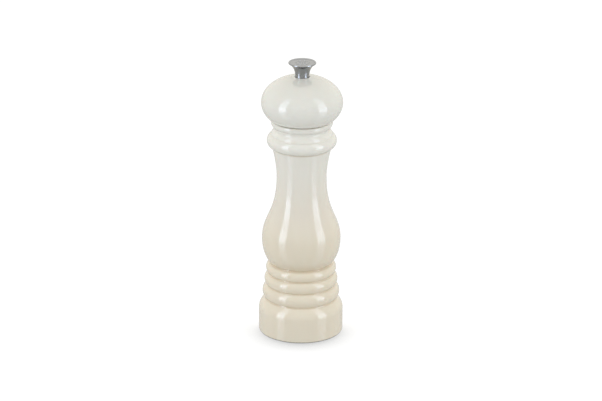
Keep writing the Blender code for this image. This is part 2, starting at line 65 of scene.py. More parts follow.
# ---- sizes read from the frame ----
_, RIM_Z, BASE_R = span("body_shell")
HEAD_EDGE_Z, HEAD_TOP_Z, HEAD_R = span("head_shell")
KNOB_FOOT_Z, KNOB_TOP_Z, KNOB_R = span("adjust_knob")
RING_Z, RING_TOP_Z, RING_R = span("mouth_ring")
TUBE_Z, TUBE_TOP_Z, TUBE_FLANGE_R = span("hopper_tube")
PLATE_Z, HOUSING_TOP_Z, PLATE_R = span("grinder_housing")
BRIDGE_Z, BRIDGE_TOP_Z, BRIDGE_R = span("bearing_bridge")
STATOR_Z, STATOR_TOP_Z, STATOR_R = span("burr_stator")
ROTOR_Z, ROTOR_TOP_Z, ROTOR_R = span("burr_rotor")
RETAINER_Z, RETAINER_TOP_Z, RETAINER_R = span("stator_retainer")
BUSH_Z, BUSH_TOP_Z, BUSH_R = span("shaft_bush")
SHAFT_Z, SHAFT_TOP_Z, SHAFT_HALF = span("drive_shaft")
INSERT_Z, INSERT_TOP_Z, INSERT_R = span("head_insert")
DRIVE_Z, DRIVE_TOP_Z, DRIVE_R = span("drive_plate")
SPRING_Z, SPRING_TOP_Z, SPRING_R = span("rotor_spring")

# ---- sizes of the design that a box doesn't give ----
GAP = 0.3               # clearance between pieces that touch
WAIST_R = 18.56
WAIST_Z = 121.5
BELLY_R = 29.36
BELLY_Z = 73.0
COLLAR_R = 25.86
COLLAR_Z = 149.5
SHELL_BORE_R = 16.0
MOUTH_R = 18.2
HEAD_B = 20.2           # half height of the head's spheroid
HEAD_Z = 179.0
HEAD_WALL = 2.5
NECK_R = 5.25           # neck of the knob
SEAT_R = 5.65           # recess under the knob's foot
POST_R = 7.0
POST_BORE_R = 4.6
THREAD_R = 2.45
SHOULDER_Z = 189.5      # where the square shaft becomes a thread
TUBE_R = 14.3
TUBE_OUT_R = 15.6
SQUARE_HOLE = 2 * (SHAFT_HALF + GAP)
RIM_SEAT_R = RING_R + GAP       # step inside the body's rim, under the mouth ring's flange
RIM_SEAT_Z = RING_TOP_Z - 1.4
SEAM_Z = (RIM_Z + HEAD_EDGE_Z) / 2

FINEST = 176            # facets round the outside pieces
FINE = 96
SMALL = 48
TOOTH_CORNER = 25.0     # degrees over which a corner stays sharp
THREAD_CORNER = 30.0


# ---- outlines ----
def bezier(start, pull_a, pull_b, end, steps=24):
    """Cubic curve from start to end, without its first point."""
    points = []
    for i in range(1, steps + 1):
        t = i / steps
        u = 1.0 - t
        weights = (u ** 3, 3 * u * u * t, 3 * u * t * t, t ** 3)
        knots = (start, pull_a, pull_b, end)
        points.append(tuple(sum(w * k[n] for w, k in zip(weights, knots)) for n in (0, 1)))
    return points


def arc(start, through, end, steps=16):
    """Circular arc through three points, without its first point."""
    a = Vector(start)
    b = Vector(through) - a
    c = Vector(end) - a
    cross = 2.0 * (b.x * c.y - b.y * c.x)
    centre = a + Vector((c.y * b.length_squared - b.y * c.length_squared,
                         b.x * c.length_squared - c.x * b.length_squared)) / cross
    radius = (a - centre).length
    first = math.atan2(a.y - centre.y, a.x - centre.x)
    middle = math.atan2(through[1] - centre.y, through[0] - centre.x)
    last = math.atan2(end[1] - centre.y, end[0] - centre.x)
    turn = (last - first) % math.tau
    if (middle - first) % math.tau > turn:
        turn -= math.tau
    points = []
    for i in range(1, steps + 1):
        angle = first + turn * i / steps
        points.append((centre.x + radius * math.cos(angle), centre.y + radius * math.sin(angle)))
    return points


def resampled(points, spacing):
    """The same outline with points at an even spacing."""
    kept = [Vector(points[0])]
    carried = 0.0
    for a, b in zip(points, points[1:]):
        a = Vector(a)
        b = Vector(b)
        length = (b - a).length
        if length < 1e-9:
            continue
        at = spacing - carried
        while at <= length:
            kept.append(a.lerp(b, at / length))
            at += spacing
        carried = (carried + length) % spacing
    kept.append(Vector(points[-1]))
    return kept


def softened(points, spacing=0.15, passes=4, tolerance=0.003):
    """Round every edge of an outline as a coat of lacquer does, then drop points it can spare."""
    dense = resampled(points, spacing)
    for _ in range(passes):
        relaxed = [dense[0]]
        for before, here, after in zip(dense, dense[1:], dense[2:]):
            relaxed.append(here * 0.5 + (before + after) * 0.25)
        relaxed.append(dense[-1])
        dense = relaxed
    kept = [0]
    for i in range(2, len(dense)):
        chord = dense[i] - dense[kept[-1]]
        farthest = 0.0
        for j in range(kept[-1] + 1, i):
            offset = dense[j] - dense[kept[-1]]
            farthest = max(farthest, abs(offset.x * chord.y - offset.y * chord.x) / chord.length)
        if farthest > tolerance or chord.length > 4.0:
            kept.append(i - 1)
    kept.append(len(dense) - 1)
    return [tuple(dense[i]) for i in kept]


def rounded(corners, radius=0.3, closed=True, steps=4):
    """Outline of straight runs with every corner rounded off."""
    points = []
    count = len(corners)
    for i, corner in enumerate(corners):
        here = Vector(corner)
        if not closed and i in (0, count - 1):
            points.append(tuple(here))
            continue
        before = Vector(corners[i - 1]) - here
        after = Vector(corners[(i + 1) % count]) - here
        cut = min(radius, before.length * 0.45, after.length * 0.45)
        first = here + before.normalized() * cut
        last = here + after.normalized() * cut
        for k in range(steps + 1):
            t = k / steps
            on_curve = first * (1 - t) ** 2 + here * 2 * t * (1 - t) + last * t ** 2
            points.append(tuple(on_curve))
    return points


def spheroid(half_width, half_height, r_start, r_end, steps, upper=True):
    """Points of the head's spheroid between two radii on its upper or lower half."""
    sign = 1.0 if upper else -1.0
    first = math.asin(r_start / half_width)
    last = math.asin(r_end / half_width)
    points = []
    for i in range(steps + 1):
        angle = first + (last - first) * i / steps
        points.append((half_width * math.sin(angle), HEAD_Z + sign * half_height * math.cos(angle)))
    return points


def ring_places(radius, count, first_degrees):
    """Evenly spaced (x, y) places on a ring."""
    places = []
    for i in range(count):
        angle = math.radians(first_degrees + 360.0 * i / count)
        places.append((radius * math.cos(angle), radius * math.sin(angle)))
    return places


# ---- meshes ----
def new_object(name, mesh, finish=None):
    """A mesh put into the scene, with its material."""
    made = bpy.data.objects.new(name, mesh)
    bpy.context.scene.collection.objects.link(made)
    if finish:
        mesh.materials.append(finish)
    return made


def bake_mesh(made):
    """Apply an object's modifiers."""
    bpy.context.view_layer.update()
    evaluated = made.evaluated_get(bpy.context.evaluated_depsgraph_get())
    mesh = bpy.data.meshes.new_from_object(evaluated)
    made.modifiers.clear()
    made.data = mesh
    return made


def even_normals(made, sharp):
    """Smooth shading that keeps flats flat and corners over the given angle sharp."""
    made.data.shade_smooth()
    made.data.set_sharp_from_angle(angle=math.radians(sharp))
    weighted = made.modifiers.new("even_normals", 'WEIGHTED_NORMAL')
    weighted.keep_sharp = True


def lathe(name, outline, facets=FINE, finish=None, closed=True):
    """A piece turned round the Z axis; an open outline starts and ends on the axis."""
    count = len(outline)
    edges = [(i, i + 1) for i in range(count - 1)]
    if closed:
        edges.append((count - 1, 0))
    mesh = bpy.data.meshes.new(name)
    mesh.from_pydata([(r * MM, 0.0, z * MM) for r, z in outline], edges, [])
    made = new_object(name, mesh, finish)
    screw = made.modifiers.new("turn", 'SCREW')
    screw.axis = 'Z'
    screw.steps = facets
    screw.render_steps = facets
    screw.use_merge_vertices = True
    screw.merge_threshold = 0.000002
    return bake_mesh(made)


def cut(made, cutter, operation='DIFFERENCE'):
    """Boolean with a cutter that is thrown away."""
    step = made.modifiers.new("cut", 'BOOLEAN')
    step.operation = operation
    step.solver = 'EXACT'
    step.object = cutter
    bake_mesh(made)
    bpy.data.objects.remove(cutter, do_unlink=True)


def cylinder(radius, z_low, z_high, place=(0.0, 0.0), facets=SMALL):
    """Upright cylinder between two heights, to add or to cut with."""
    mesh = bpy.data.meshes.new("cylinder")
    shape = bmesh.new()
    bmesh.ops.create_cone(shape, cap_ends=True, segments=facets, radius1=radius * MM,
                          radius2=radius * MM, depth=(z_high - z_low) * MM)
    shape.to_mesh(mesh)
    shape.free()
    made = new_object("cylinder", mesh)
    made.location = Vector((place[0], place[1], (z_low + z_high) / 2)) * MM
    return made


def block(size, centre, spin=0.0, bevel=0.0):
    """Box turned round the vertical, with its edges broken by bevel."""
    mesh = bpy.data.meshes.new("block")
    shape = bmesh.new()
    bmesh.ops.create_cube(shape, size=1.0)
    bmesh.ops.scale(shape, vec=Vector(size) * MM, verts=shape.verts)
    if bevel:
        bmesh.ops.bevel(shape, geom=shape.edges[:], offset=bevel * MM, segments=3, profile=0.5,
                        affect='EDGES')
    shape.to_mesh(mesh)
    shape.free()
    made = new_object("block", mesh)
    made.location = Vector(centre) * MM
    made.rotation_euler.z = spin
    return made


def grid_body(name, rows, columns, radius_at, finish=None):
    """Closed solid whose radius is a function of angle and height, with flat end caps."""
    mesh = bpy.data.meshes.new(name)
    shape = bmesh.new()
    rings = []
    for height in rows:
        ring = []
        for i in range(columns):
            angle = math.tau * i / columns
            radius = radius_at(angle, height) * MM
            ring.append(shape.verts.new((radius * math.cos(angle), radius * math.sin(angle),
                                         height * MM)))
        rings.append(ring)
    for lower, upper in zip(rings, rings[1:]):
        for i in range(columns):
            j = (i + 1) % columns
            shape.faces.new((lower[i], lower[j], upper[j], upper[i]))
    shape.faces.new(list(reversed(rings[0])))
    shape.faces.new(rings[-1])
    shape.to_mesh(mesh)
    shape.free()
    return new_object(name, mesh, finish)


def steps_between(low, high, step):
    """Even heights from low to high, about one step apart."""
    count = max(1, round((high - low) / step))
    return [low + (high - low) * i / count for i in range(count + 1)]


def thread(name, radius, pitch, low, high, finish=None, chamfer=0.6, columns=32):
    """Screw thread: a helix of V grooves that runs out at both ends."""
    depth = 0.54 * pitch

    def radius_at(angle, height):
        phase = (height / pitch - angle / math.tau) % 1.0
        groove = depth * (1.0 - abs(2.0 * phase - 1.0))
        fade = min(1.0, (height - low) / pitch)
        taper = max(0.0, chamfer - (high - height))
        return radius - groove * max(0.0, fade) - taper

    return grid_body(name, steps_between(low, high, pitch / 8), columns, radius_at, finish)


def place_in_frame(made, node, body, sharp=40.0):
    """Shade a fine piece, let it stand for its CAD node and ride on that node's body."""
    even_normals(made, sharp)
    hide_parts(node)
    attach(made, body)


# ---- materials ----
# lacquer tone, sRGB 0 to 255, by height in millimetres: the lacquer's own change from warm cream
# below to off-white above, with the waist and collar (130 to 151 mm) made lighter as painted light
LACQUER_TONE_AND_PAINTED_LIGHT = ((0.0, (229, 219, 199)), (52.0, (229, 218, 196)), (75.0, (226, 216, 195)),
         (100.0, (225, 217, 202)), (130.0, (230, 226, 215)), (151.0, (231, 228, 218)),
         (168.0, (227, 225, 216)), (210.0, (226, 224, 214)))
# painted shade: warm darker bands where shade falls, in the grooves, at the seam and under the belly:
# height, reach and amount
PAINTED_SHADE_BANDS = ((SEAM_Z, 0.8, 1.0), (144.4, 1.2, 0.55), (154.6, 0.9, 0.10),
           (54.0, 1.3, 0.55), (57.0, 4.5, 0.20), (45.6, 1.1, 0.50), (36.6, 1.1, 0.50),
           (26.0, 1.2, 0.50))
# colour of the painted shade in the grooves, at the seam and under the belly
PAINTED_SHADE_TINT = (214, 196, 170)


class Finish:
    """One procedural material; its methods add nodes and return their output sockets."""

    def __init__(self, name, roughness=0.4, metallic=0.0, ior=1.5, specular=0.5, coat=0.0,
                 coat_roughness=0.03, subsurface=0.0, anisotropic=0.0):
        self.material = bpy.data.materials.new(name)
        self.material.use_nodes = True
        self.nodes = self.material.node_tree.nodes
        self.links = self.material.node_tree.links
        self.shader = self.nodes["Principled BSDF"]
        inputs = self.shader.inputs
        inputs["Roughness"].default_value = roughness
        inputs["Metallic"].default_value = metallic
        inputs["IOR"].default_value = ior
        inputs["Specular IOR Level"].default_value = specular
        inputs["Coat Weight"].default_value = coat
        inputs["Coat Roughness"].default_value = coat_roughness
        inputs["Subsurface Weight"].default_value = subsurface
        inputs["Subsurface Scale"].default_value = 0.001
        inputs["Anisotropic"].default_value = anisotropic
        self.place = self.add("ShaderNodeTexCoord").outputs["Object"]

    def add(self, kind, **settings):
        node = self.nodes.new(kind)
        for key, value in settings.items():
            setattr(node, key, value)
        return node

    def set_or_link(self, socket, value):
        if isinstance(value, bpy.types.NodeSocket):
            self.links.new(value, socket)
        else:
            socket.default_value = value

    def math(self, operation, a, b=0.0):
        node = self.add("ShaderNodeMath", operation=operation)
        self.set_or_link(node.inputs[0], a)
        self.set_or_link(node.inputs[1], b)
        return node.outputs[0]

    def stretched(self, x, y, z):
        """Object coordinates scaled along each axis."""
        node = self.add("ShaderNodeMapping")
        self.links.new(self.place, node.inputs["Vector"])
        node.inputs["Scale"].default_value = (x, y, z)
        return node.outputs["Vector"]

    def around(self):
        """(distance from the axis, height, 0): what turning marks follow."""
        parts = self.add("ShaderNodeSeparateXYZ")
        self.links.new(self.place, parts.inputs[0])
        flat = self.add("ShaderNodeCombineXYZ")
        self.links.new(parts.outputs["X"], flat.inputs["X"])
        self.links.new(parts.outputs["Y"], flat.inputs["Y"])
        length = self.add("ShaderNodeVectorMath", operation='LENGTH')
        self.links.new(flat.outputs[0], length.inputs[0])
        joined = self.add("ShaderNodeCombineXYZ")
        self.links.new(length.outputs["Value"], joined.inputs["X"])
        self.links.new(parts.outputs["Z"], joined.inputs["Y"])
        return joined.outputs[0]

    def height(self):
        parts = self.add("ShaderNodeSeparateXYZ")
        self.links.new(self.place, parts.inputs[0])
        return parts.outputs["Z"]

    def near_height(self, height_mm, reach_mm):
        """1 at a height, falling to 0 at reach above and below it."""
        away = self.math('ABSOLUTE', self.math('SUBTRACT', self.height(), height_mm * MM))
        return self.between(away, 1.0, 0.0, 0.0, reach_mm * MM)

    def tinted(self, colour, tint, amount):
        """Colour multiplied by a tint as far as amount says."""
        node = self.add("ShaderNodeMix", data_type='RGBA', blend_type='MULTIPLY')
        self.set_or_link(node.inputs["Factor"], amount)
        self.set_or_link(node.inputs["A"], colour)
        node.inputs["B"].default_value = linear(tint)
        return node.outputs["Result"]

    def noise(self, scale, detail=2.0, roughness=0.5, vector=None):
        node = self.add("ShaderNodeTexNoise")
        self.links.new(vector or self.place, node.inputs["Vector"])
        node.inputs["Scale"].default_value = scale
        node.inputs["Detail"].default_value = detail
        node.inputs["Roughness"].default_value = roughness
        return node.outputs["Fac"]

    def between(self, value, low, high, from_low=0.0, from_high=1.0):
        node = self.add("ShaderNodeMapRange")
        self.links.new(value, node.inputs["Value"])
        node.inputs["From Min"].default_value = from_low
        node.inputs["From Max"].default_value = from_high
        node.inputs["To Min"].default_value = low
        node.inputs["To Max"].default_value = high
        return node.outputs["Result"]

    def ramp(self, value, stops):
        """Colour by value; stops are (position, sRGB colour 0 to 255)."""
        node = self.add("ShaderNodeValToRGB")
        self.links.new(value, node.inputs["Fac"])
        elements = node.color_ramp.elements
        while len(elements) < len(stops):
            elements.new(0.5)
        for element, (position, colour) in zip(elements, stops):
            element.position = position
            element.color = linear(colour)
        return node.outputs["Color"]

    def shaded(self, colour, factor, amount):
        """Colour made darker by amount where factor is low."""
        node = self.add("ShaderNodeMix", data_type='RGBA', blend_type='MULTIPLY')
        node.inputs["Factor"].default_value = 1.0
        self.set_or_link(node.inputs["A"], colour)
        grey = self.add("ShaderNodeCombineColor")
        level = self.between(factor, 1.0 - amount, 1.0)
        for channel in ("Red", "Green", "Blue"):
            self.links.new(level, grey.inputs[channel])
        self.links.new(grey.outputs[0], node.inputs["B"])
        return node.outputs["Result"]

    def colour(self, value):
        self.set_or_link(self.shader.inputs["Base Color"], value)

    def roughness(self, value):
        self.links.new(value, self.shader.inputs["Roughness"])

    def bump(self, height, strength, distance_mm):
        node = self.add("ShaderNodeBump")
        node.inputs["Strength"].default_value = strength
        node.inputs["Distance"].default_value = distance_mm * MM
        self.links.new(height, node.inputs["Height"])
        self.links.new(node.outputs["Normal"], self.shader.inputs["Normal"])


def linear(colour):
    """sRGB colour, 0 to 255, as linear RGBA."""
    return tuple((c / 255.0 / 12.92) if c < 10.3 else ((c / 255.0 + 0.055) / 1.055) ** 2.4
                 for c in colour) + (1.0,)


def enamel(name):
    """Glossy lacquered plastic, coloured by height from off-white to warm cream, with painted light
    round the waist and collar and painted shade in the grooves, at the seam and under the belly.
    """
    made = Finish(name, roughness=0.16, ior=1.5, specular=0.2, coat=1.0, coat_roughness=0.015,
                  subsurface=0.04)
    share = made.between(made.height(), 0.0, 1.0, 0.0, KNOB_TOP_Z * MM)
    colour = made.ramp(share, [(height / KNOB_TOP_Z, tone) for height, tone in LACQUER_TONE_AND_PAINTED_LIGHT])
    # painted shade: each band darkens and warms the lacquer's tone at its height
    for height, reach, amount in PAINTED_SHADE_BANDS:
        painted_shade = made.math('MULTIPLY', made.near_height(height, reach), amount)
        colour = made.tinted(colour, PAINTED_SHADE_TINT, painted_shade)
    drift = made.noise(26.0, detail=3.0)
    made.colour(made.shaded(colour, drift, 0.02))
    made.roughness(made.between(made.noise(70.0, detail=4.0), 0.10, 0.22))
    made.bump(made.noise(420.0, detail=1.0), 0.05, 0.05)
    return made.material


def satin_metal(name, tone, roughness, grain, mottling=0.25, relief=0.12, turned=0.0):
    """Cast and turned metal: fine rings round the axis over a slightly mottled grain.

    The rings of a turned surface spread its highlights along the axis.
    """
    made = Finish(name, roughness=roughness, metallic=1.0, anisotropic=turned)
    if turned:
        made.shader.inputs["Anisotropic Rotation"].default_value = 0.25
        round_axis = made.add("ShaderNodeTangent", direction_type='RADIAL', axis='Z')
        made.links.new(round_axis.outputs["Tangent"], made.shader.inputs["Tangent"])
    mottle = made.noise(grain, detail=5.0, roughness=0.6)
    made.colour(made.shaded(linear(tone), mottle, mottling))
    marks = made.noise(2600.0, detail=2.0, vector=made.around())
    made.roughness(made.between(mottle, roughness - 0.3 * mottling, roughness + 0.4 * mottling))
    both = made.math('ADD', marks, made.math('MULTIPLY', mottle, 1.5))
    made.bump(both, relief, 0.04)
    return made.material


def drawn_metal(name, tone, roughness):
    """Steel drawn along the axis: long fine streaks."""
    made = Finish(name, roughness=roughness, metallic=1.0)
    streaks = made.noise(1.0, detail=4.0, vector=made.stretched(3500.0, 3500.0, 40.0))
    made.colour(made.shaded(linear(tone), streaks, 0.18))
    made.roughness(made.between(streaks, roughness - 0.06, roughness + 0.10))
    made.bump(streaks, 0.08, 0.02)
    return made.material


def moulded(name, tone, roughness, subsurface=0.0, grain=1400.0, bump=0.12):
    """Moulded engineering plastic with a fine spark-eroded grain."""
    made = Finish(name, roughness=roughness, ior=1.48, subsurface=subsurface)
    cloud = made.noise(60.0, detail=3.0)
    made.colour(made.shaded(linear(tone), cloud, 0.05))
    made.roughness(made.between(made.noise(120.0, detail=3.0), roughness - 0.06, roughness + 0.08))
    made.bump(made.noise(grain, detail=2.0), bump, 0.05)
    return made.material


def fired_ceramic(name):
    """Unglazed technical ceramic, faintly speckled."""
    made = Finish(name, roughness=0.38, ior=1.6, subsurface=0.05)
    speckle = made.noise(2200.0, detail=3.0, roughness=0.7)
    made.colour(made.shaded(linear((236, 232, 224)), speckle, 0.10))
    made.roughness(made.between(speckle, 0.30, 0.46))
    made.bump(speckle, 0.10, 0.03)
    return made.material


ENAMEL_BODY = enamel("enamel_body")
ENAMEL_HEAD = enamel("enamel_head")
KNOB_METAL = satin_metal("knob_metal", (157, 159, 163), 0.15, 700.0, 0.03, 0.004, turned=0.5)
STEEL = drawn_metal("stainless_steel", (202, 201, 198), 0.28)
SCREW_STEEL = satin_metal("screw_steel", (196, 195, 190), 0.27, 1500.0)
SPRING_STEEL = satin_metal("spring_steel", (178, 178, 176), 0.30, 2200.0)
BRASS = satin_metal("brass", (214, 178, 106), 0.28, 1500.0)
WHITE_PLASTIC = moulded("acetal_white", (226, 224, 216), 0.38, subsurface=0.08)
MILKY_PLASTIC = moulded("polypropylene_milky", (222, 225, 221), 0.30, subsurface=0.25, grain=900.0)
DARK_PLASTIC = moulded("nylon_dark", (58, 58, 60), 0.46)
GREY_PLASTIC = moulded("nylon_grey", (128, 128, 127), 0.50)
CERAMIC = fired_ceramic("ceramic_white")


# ---- body ----
# each bead of the foot: where it starts, its crest and where it ends
BEADS = (((23.5, 53.6), (26.27, 49.2), (24.8, 46.0)),
         ((24.7, 45.3), (27.4, 40.9), (26.0, 37.0)),
         ((25.9, 36.3), (28.82, 31.3), (27.0, 26.4)))
RIM_OUT_R = 22.35       # below it a hollow, then the collar
HOLLOW_Z = 161.0
COLLAR_LOW_R = 22.0     # sharp foot of the collar, over the waist
COLLAR_LOW_Z = 144.5
BEAD_TOP_R = 23.5       # the belly ends in it, over the first bead
DRUM_Z = 17.0           # the drum is straight up to here
FOOT_IN_R = 28.2        # recess for the housing's plate
RECESS_Z = 14.5
VAULT_R = 22.0          # its arched ceiling
VAULT_Z = 20.0
WIDE_BORE_R = 20.9      # bore in the belly, which narrows into the waist
BOSS_RING = 25.4        # three bosses with the housing screws
BOSS_R = 3.2
BOSS_HOLE_R = 1.8
RETAINER_RING = 19.4
RETAINER_HOLE_R = 1.3
RETAINER_IN_R = 13.3
PLATE_RING = 8.0
PLATE_HOLE_R = 1.5


def make_body():
    """The shell: collar, waist, belly, three beads and the drum, with the bore inside."""
    outside = [(21.3, RIM_Z), (21.9, RIM_Z), (RIM_OUT_R, RIM_Z - 0.4)]
    outside += arc((RIM_OUT_R, RIM_Z - 0.4), (22.8, 162.9), (21.4, HOLLOW_Z))
    outside += arc((21.4, HOLLOW_Z), (20.6, 159.4), (20.9, 158.0))
    outside += arc((20.9, 158.0), (22.3, 156.3), (23.1, 154.5))
    outside += arc((23.1, 154.5), (COLLAR_R, COLLAR_Z), (COLLAR_LOW_R, COLLAR_LOW_Z), 24)
    outside += bezier((21.9, 144.4), (22.3, 145.2), (WAIST_R, 132.9), (WAIST_R, WAIST_Z))
    outside += bezier((WAIST_R, WAIST_Z), (WAIST_R, 92.3), (BELLY_R, 89.7), (BELLY_R, BELLY_Z), 40)
    outside += bezier((BELLY_R, BELLY_Z), (BELLY_R, 60.3), (23.8, 54.6), (BEAD_TOP_R, 54.4))
    for upper, crest, lower in BEADS:
        outside += [upper]
        outside += arc(upper, crest, lower)
    outside += bezier((27.0, 25.7), (29.6, 23.2), (BASE_R, 20.5), (BASE_R, DRUM_Z))
    outside += [(BASE_R, 0.8)]
    outside += arc((BASE_R, 0.8), (BASE_R - 0.23, 0.23), (BASE_R - 0.8, 0.0), 6)
    outside += [(BASE_R - 1.4, 0.0)]
    outline = softened(outside)
    ledge_z = RING_Z - GAP
    inside = [(FOOT_IN_R + 0.4, 0.0), (FOOT_IN_R, 0.4), (FOOT_IN_R, RECESS_Z)]
    inside += arc((FOOT_IN_R, RECESS_Z), (26.3, 18.4), (VAULT_R, VAULT_Z), 8)
    inside += [(WIDE_BORE_R, 53.0), (WIDE_BORE_R, 88.0), (SHELL_BORE_R, 112.0)]
    inside += [(SHELL_BORE_R, ledge_z)]
    inside += [(MOUTH_R, ledge_z), (MOUTH_R, RIM_SEAT_Z), (RIM_SEAT_R, RIM_SEAT_Z)]
    inside += [(RIM_SEAT_R, RIM_Z - 0.3), (RIM_SEAT_R + 0.3, RIM_Z)]
    made = lathe("mill_body", outline + inside, FINEST, ENAMEL_BODY)
    for place in ring_places(BOSS_RING, 3, 30.0):
        cut(made, cylinder(BOSS_R, 12.3, 21.5, place), 'UNION')
        cut(made, cylinder(BOSS_HOLE_R, 11.0, 18.5, place, 32))
    place_in_frame(made, "body_shell", "body")


def make_mouth_ring():
    """Lining of the mouth: its flange carries the head, its lip lies over the hopper tube."""
    flange_z = RIM_SEAT_Z + GAP
    outside_r = MOUTH_R - GAP
    lip_z = RING_Z + 1.5
    lip_r = 14.6
    bore_r = 15.8
    outline = [(bore_r + 0.5, RING_TOP_Z), (RING_R, RING_TOP_Z), (RING_R, flange_z)]
    outline += [(outside_r, flange_z), (outside_r, RING_Z), (lip_r, RING_Z), (lip_r, lip_z)]
    outline += [(bore_r, lip_z), (bore_r, RING_TOP_Z - 0.5)]
    made = lathe("mill_mouth_ring", rounded(outline, 0.25), FINE, WHITE_PLASTIC)
    place_in_frame(made, "mouth_ring", "body")


def make_hopper_tube():
    """Straight tube with a flange at its foot."""
    shoulder_z = TUBE_Z + 1.7
    outline = [(TUBE_R, TUBE_TOP_Z), (TUBE_OUT_R, TUBE_TOP_Z), (TUBE_OUT_R, shoulder_z)]
    outline += [(TUBE_FLANGE_R, shoulder_z), (TUBE_FLANGE_R, TUBE_Z), (TUBE_R, TUBE_Z)]
    made = lathe("mill_hopper_tube", rounded(outline, 0.35), FINE, MILKY_PLASTIC)
    place_in_frame(made, "hopper_tube", "body")


def make_housing():
    """Housing of the burr: plate with six screw holes, seat of the stator, pocket of the bridge."""
    pocket_z = 41.2
    ledge_z = STATOR_TOP_Z + GAP
    plate_top = PLATE_Z + 4.0
    wall_r = 19.8
    foot_r = 21.6
    throat_r = 15.5
    pocket_r = 17.3
    outline = [(wall_r, HOUSING_TOP_Z), (wall_r, 18.5), (foot_r, 15.5), (foot_r, plate_top)]
    outline += [(PLATE_R, plate_top), (PLATE_R, PLATE_Z), (STATOR_R + GAP, PLATE_Z)]
    outline += [(STATOR_R + GAP, ledge_z), (throat_r, ledge_z), (throat_r, pocket_z)]
    outline += [(pocket_r, pocket_z), (pocket_r, HOUSING_TOP_Z)]
    made = lathe("mill_grinder_housing", rounded(outline, 0.4), FINE, DARK_PLASTIC)
    for place in ring_places(BOSS_RING, 3, 30.0):
        cut(made, cylinder(BOSS_HOLE_R, PLATE_Z - 1, plate_top + 1, place, 32))
    for place in ring_places(RETAINER_RING, 3, 90.0):
        cut(made, cylinder(RETAINER_HOLE_R, PLATE_Z - 1, 13.0, place, 24))
    place_in_frame(made, "grinder_housing", "body")


def make_bridge():
    """Rim, hub and three rounded arms."""
    rim_in = 14.9
    rim_low = 41.5
    rim = [(rim_in, BRIDGE_TOP_Z), (BRIDGE_R, BRIDGE_TOP_Z), (BRIDGE_R, rim_low), (rim_in, rim_low)]
    made = lathe("mill_bearing_bridge", rounded(rim, 0.4), FINE, GREY_PLASTIC)
    hub_in = 5.5
    hub_out = 8.2
    hub = [(hub_in, BRIDGE_TOP_Z), (hub_out, BRIDGE_TOP_Z), (hub_out, BRIDGE_Z), (hub_in, BRIDGE_Z)]
    hub_body = lathe("hub", rounded(hub, 0.4), FINE)
    cut(made, hub_body, 'UNION')
    inner = 7.0
    length = rim_in + 0.9 - inner
    for i, place in enumerate(ring_places(inner + length / 2, 3, 0.0)):
        arm = block((length, 3.0, 3.6), (*place, rim_low + 2.2), math.radians(120.0 * i), bevel=0.6)
        cut(made, arm, 'UNION')
    place_in_frame(made, "bearing_bridge", "body")


def lerp_table(table, height):
    """Value at a height, straight between the (height, value) pairs of a short table."""
    for (z_a, a), (z_b, b) in zip(table, table[1:]):
        if height <= z_b:
            return a + (b - a) * max(0.0, (height - z_a) / (z_b - z_a))
    return table[-1][1]


def saw(turns):
    """Tooth shape from 0 at the tip to 1 at the root: a steep face and a long back."""
    phase = turns % 1.0
    back = 0.8
    return phase / back if phase < back else (1.0 - phase) / 0.2


FINE_TEETH = 48
COARSE_TEETH = 12
TOOTH_COLUMNS = 288
CUT_Z = 17.5            # above it the burr cracks corns, below it it grinds fine


def make_stator():
    """Toothed throat: coarse helical teeth feed a ring of fine teeth that flares below."""
    tips = ((STATOR_Z - 1.0, 12.87), (CUT_Z, 11.2), (21.0, 12.3), (STATOR_TOP_Z + 1.0, 14.6))

    def radius_at(angle, height):
        tip = lerp_table(tips, height)
        if height <= CUT_Z:
            return tip + 0.6 * saw(FINE_TEETH * angle / math.tau + 0.3 * (height - CUT_Z))
        rise = min(1.0, (height - CUT_Z) / 2.0)
        coarse = 1.2 * rise * saw(COARSE_TEETH * angle / math.tau + 0.12 * (height - CUT_Z))
        fine = 0.6 * (1.0 - rise) * saw(FINE_TEETH * angle / math.tau)
        return tip + coarse + fine

    hole_r = 4.0        # well inside the throat, which is cut next
    blank = rounded([(hole_r, STATOR_TOP_Z), (STATOR_R, STATOR_TOP_Z), (STATOR_R, STATOR_Z),
                     (hole_r, STATOR_Z)], 0.4)
    made = lathe("mill_burr_stator", blank, FINE, CERAMIC)
    rows = steps_between(STATOR_Z - 1.0, STATOR_TOP_Z + 1.0, 0.5)
    cut(made, grid_body("throat", rows, TOOTH_COLUMNS, radius_at))
    place_in_frame(made, "burr_stator", "body", TOOTH_CORNER)


def make_rotor():
    """Turning cone: coarse helical ridges above, fine teeth below."""
    tips = ((ROTOR_Z, 12.0), (ROTOR_Z + 0.4, ROTOR_R - 0.05), (12.3, 12.2), (CUT_Z, 10.85),
            (21.0, 9.9), (ROTOR_TOP_Z - 0.4, 7.6), (ROTOR_TOP_Z, 7.3))

    def radius_at(angle, height):
        tip = lerp_table(tips, height)
        if height <= CUT_Z:
            depth = 0.5 * min(1.0, max(0.0, height - ROTOR_Z - 1.0))
            return tip - depth * saw(-FINE_TEETH * angle / math.tau - 0.3 * (height - CUT_Z))
        rise = min(1.0, (height - CUT_Z) / 2.0)
        coarse = 1.5 * rise * saw(-COARSE_TEETH * angle / math.tau - 0.16 * (height - CUT_Z))
        fine = 0.5 * (1.0 - rise) * saw(-FINE_TEETH * angle / math.tau)
        return tip - coarse - fine

    rows = steps_between(ROTOR_Z, ROTOR_TOP_Z, 0.5)
    made = grid_body("mill_burr_rotor", rows, TOOTH_COLUMNS, radius_at, CERAMIC)
    cut(made, block((SQUARE_HOLE, SQUARE_HOLE, 30.0), (0, 0, 18.0)))
    place_in_frame(made, "burr_rotor", "spindle", TOOTH_CORNER)


